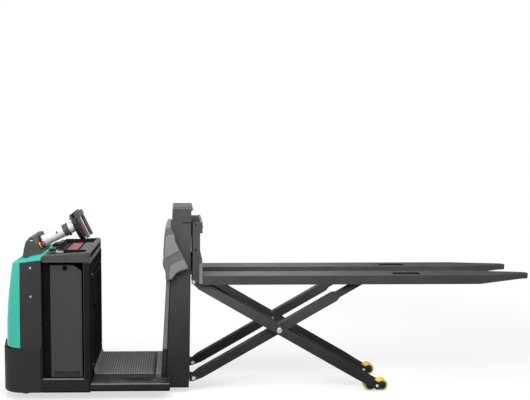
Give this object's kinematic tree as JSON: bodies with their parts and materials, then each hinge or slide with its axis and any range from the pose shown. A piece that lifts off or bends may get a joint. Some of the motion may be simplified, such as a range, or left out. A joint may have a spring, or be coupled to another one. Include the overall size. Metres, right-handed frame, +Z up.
{
  "type": "order picker truck",
  "caption": "Stand-on low-level order picker truck with a steering console, operator platform, short mast and long forks raised on a scissor linkage.",
  "frame": {"origin": "on the floor under the middle of the truck's overall box", "axes": "+X along the forks towards their tips, +Y across, +Z up"},
  "size_m": [3.788, 0.8, 1.324],
  "materials": {
    "teal_paint": "satin paint",
    "dark_moulding": "fine-grained plastic",
    "dark_paint": "satin paint",
    "mast_paint": "satin paint",
    "grey_moulding": "grained plastic",
    "light_moulding": "grained plastic",
    "white_moulding": "smooth plastic",
    "black_plastic": "fine-grained plastic",
    "red_plastic": "smooth plastic",
    "mat_rubber": "ribbed rubber",
    "fork_paint": "worn satin paint",
    "bare_steel": "ground steel",
    "cast_grey": "painted casting",
    "drive_tyre": "solid tyre",
    "castor_tyre": "moulded tyre",
    "roller_tyre": "moulded tyre"
  },
  "bodies": {
    "chassis": {"front_bumper": "dark_moulding", "front_cover": "teal_paint", "side_panel_left": "dark_paint", "side_panel_right": "dark_paint", "chassis_frame": "dark_paint", "rear_wall": "dark_paint", "battery_block": "dark_paint", "battery_panel_left": "dark_paint", "battery_panel_right": "dark_paint", "traction_motor": "cast_grey", "console": "grey_moulding", "console_hump": "grey_moulding", "steering_column": "white_moulding", "stop_button": "red_plastic", "display_pod": "black_plastic", "platform_frame": "dark_paint", "platform_mat": "mat_rubber", "heel_strip": "mat_rubber", "mast_tower": "mast_paint", "mast_rail_left": "bare_steel", "mast_rail_right": "bare_steel", "pivot_foot_left": "dark_paint", "pivot_foot_right": "dark_paint", "backrest": "light_moulding", "backrest_spacer": "black_plastic", "mast_front_panel": "light_moulding"},
    "steering_handle": {"steering_head": "black_plastic"},
    "drive_turntable": {"drive_fork": "cast_grey"},
    "drive_roadwheel": {"drive_wheel": "drive_tyre"},
    "fork_carriage": {"carriage": "fork_paint", "fork_left": "fork_paint", "fork_right": "fork_paint"},
    "castor_swivel_left": {"castor_fork_left": "bare_steel"},
    "castor_roadwheel_left": {"castor_wheel_left": "castor_tyre"},
    "castor_swivel_right": {"castor_fork_right": "bare_steel"},
    "castor_roadwheel_right": {"castor_wheel_right": "castor_tyre"},
    "lift_arms_left": {"lift_arm_left": "fork_paint"},
    "wheel_arms_left": {"wheel_arm_left": "fork_paint"},
    "load_bogie_left": {"bogie_left": "bare_steel"},
    "roller_front_left": {"load_roller_front_left": "roller_tyre"},
    "roller_rear_left": {"load_roller_rear_left": "roller_tyre"},
    "lift_arms_right": {"lift_arm_right": "fork_paint"},
    "wheel_arms_right": {"wheel_arm_right": "fork_paint"},
    "load_bogie_right": {"bogie_right": "bare_steel"},
    "roller_front_right": {"load_roller_front_right": "roller_tyre"},
    "roller_rear_right": {"load_roller_rear_right": "roller_tyre"}
  },
  "joints": [
    {"name": "steering_turn", "type": "hinge", "parent": "chassis", "child": "steering_handle", "pos_m": [-1.63357, 0, 1.063], "axis": [0.8988, 0, 0.4384], "range_deg": [-90, 90]},
    {"name": "drive_steer", "type": "hinge", "parent": "chassis", "child": "drive_turntable", "pos_m": [-1.70376, 0, 0.3], "axis": [0, 0, 1], "range_deg": [-90, 90]},
    {"name": "drive_spin", "type": "hinge", "parent": "drive_turntable", "child": "drive_roadwheel", "pos_m": [-1.70376, 0, 0.115], "axis": [0, 1, 0], "continuous": true},
    {"name": "castor_swivel_turn_left", "type": "hinge", "parent": "chassis", "child": "castor_swivel_left", "pos_m": [-1.69392, -0.225, 0.3], "axis": [0, 0, 1], "continuous": true},
    {"name": "castor_spin_left", "type": "hinge", "parent": "castor_swivel_left", "child": "castor_roadwheel_left", "pos_m": [-1.71792, -0.225, 0.065], "axis": [0, 1, 0], "continuous": true},
    {"name": "castor_swivel_turn_right", "type": "hinge", "parent": "chassis", "child": "castor_swivel_right", "pos_m": [-1.69392, 0.225, 0.3], "axis": [0, 0, 1], "continuous": true},
    {"name": "castor_spin_right", "type": "hinge", "parent": "castor_swivel_right", "child": "castor_roadwheel_right", "pos_m": [-1.71792, 0.225, 0.065], "axis": [0, 1, 0], "continuous": true},
    {"name": "lift", "type": "hinge", "parent": "chassis", "child": "lift_arms_left", "pos_m": [-0.519, -0.1875, 0.1005], "axis": [0, 1, 0], "range_deg": [0, 30]},
    {"name": "arm_cross_left", "type": "hinge", "parent": "lift_arms_left", "child": "wheel_arms_left", "pos_m": [0.09415, -0.1875, 0.4545], "axis": [0, 1, 0], "range_deg": [-60, 0]},
    {"name": "bogie_tilt_left", "type": "hinge", "parent": "wheel_arms_left", "child": "load_bogie_left", "pos_m": [0.80342, -0.1875, 0.045], "axis": [0, 1, 0], "range_deg": [0, 30]},
    {"name": "roller_spin_front_left", "type": "hinge", "parent": "load_bogie_left", "child": "roller_front_left", "pos_m": [0.75942, -0.1875, 0.041], "axis": [0, 1, 0], "continuous": true},
    {"name": "roller_spin_rear_left", "type": "hinge", "parent": "load_bogie_left", "child": "roller_rear_left", "pos_m": [0.84742, -0.1875, 0.041], "axis": [0, 1, 0], "continuous": true},
    {"name": "lift_right", "type": "hinge", "parent": "chassis", "child": "lift_arms_right", "pos_m": [-0.519, 0.1875, 0.1005], "axis": [0, 1, 0], "range_deg": [0, 30]},
    {"name": "arm_cross_right", "type": "hinge", "parent": "lift_arms_right", "child": "wheel_arms_right", "pos_m": [0.09415, 0.1875, 0.4545], "axis": [0, 1, 0], "range_deg": [-60, 0]},
    {"name": "bogie_tilt_right", "type": "hinge", "parent": "wheel_arms_right", "child": "load_bogie_right", "pos_m": [0.80342, 0.1875, 0.045], "axis": [0, 1, 0], "range_deg": [0, 30]},
    {"name": "roller_spin_front_right", "type": "hinge", "parent": "load_bogie_right", "child": "roller_front_right", "pos_m": [0.75942, 0.1875, 0.041], "axis": [0, 1, 0], "continuous": true},
    {"name": "roller_spin_rear_right", "type": "hinge", "parent": "load_bogie_right", "child": "roller_rear_right", "pos_m": [0.84742, 0.1875, 0.041], "axis": [0, 1, 0], "continuous": true},
    {"name": "carriage_level", "type": "hinge", "parent": "wheel_arms_left", "child": "fork_carriage", "pos_m": [-0.519, -0.1875, 0.8085], "axis": [0, 1, 0], "range_deg": [0, 30]}
  ],
  "couplings": [
    {"joint": "arm_cross_left", "follows": "lift", "ratio": -2},
    {"joint": "bogie_tilt_left", "follows": "lift", "ratio": 1},
    {"joint": "lift_right", "follows": "lift", "ratio": 1},
    {"joint": "arm_cross_right", "follows": "lift", "ratio": -2},
    {"joint": "bogie_tilt_right", "follows": "lift", "ratio": 1},
    {"joint": "carriage_level", "follows": "lift", "ratio": 1}
  ]
}
